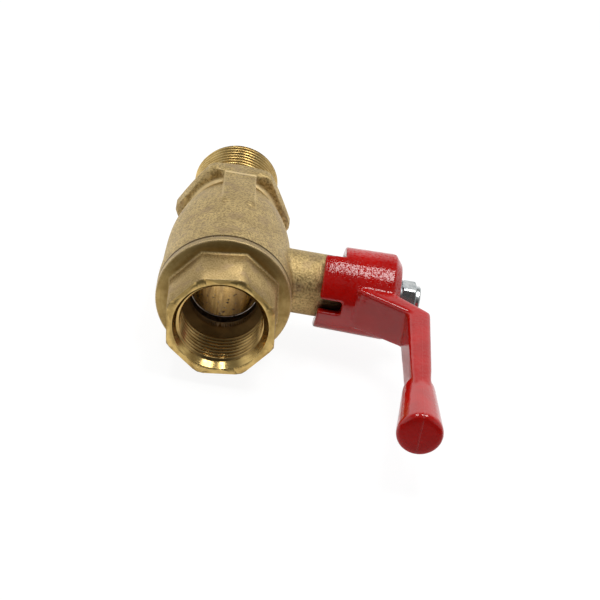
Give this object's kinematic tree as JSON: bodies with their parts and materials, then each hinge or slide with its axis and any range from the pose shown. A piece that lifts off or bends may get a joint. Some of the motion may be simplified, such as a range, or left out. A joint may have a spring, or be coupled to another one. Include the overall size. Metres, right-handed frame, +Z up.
{
  "type": "ball valve",
  "caption": "Brass quarter-turn ball valve with a female pipe thread at the inlet, a male thread at the outlet and a red offset lever on a side stem.",
  "frame": {"origin": "centre of the inlet's mouth, on the pipe axis", "axes": "+Y along the pipe from the inlet to the outlet, +X along the stem towards the lever, +Z up; the stored pose is open"},
  "size_m": [0.1063, 0.17, 0.0504],
  "materials": {
    "cast_brass": "forged skin, fine grained, machined thread",
    "turned_brass": "turned and milled, satin",
    "stem_brass": "turned, satin",
    "chrome": "polished",
    "seat_plastic": "waxy",
    "seal_rubber": "matt",
    "red_paint": "gloss with orange peel",
    "zinc_steel": "zinc plated",
    "lock_plastic": "satin"
  },
  "bodies": {
    "valve_body": {"body": "cast_brass", "end_cap": "turned_brass", "seat_inlet": "seat_plastic", "seat_outlet": "seat_plastic", "thrust_washer": "seat_plastic", "packing_ring": "seat_plastic", "gland_nut": "stem_brass"},
    "lever_and_ball": {"ball": "chrome", "stem": "stem_brass", "stem_ring_lower": "seal_rubber", "stem_ring_upper": "seal_rubber", "lever": "red_paint", "spring_washer": "zinc_steel", "lock_nut": "zinc_steel", "lock_ring": "lock_plastic"}
  },
  "joints": [
    {"name": "stem_turn", "type": "hinge", "parent": "valve_body", "child": "lever_and_ball", "pos_m": [0, 0.04356, 0], "axis": [-1, 0, 0], "range_deg": [0, 90]}
  ]
}
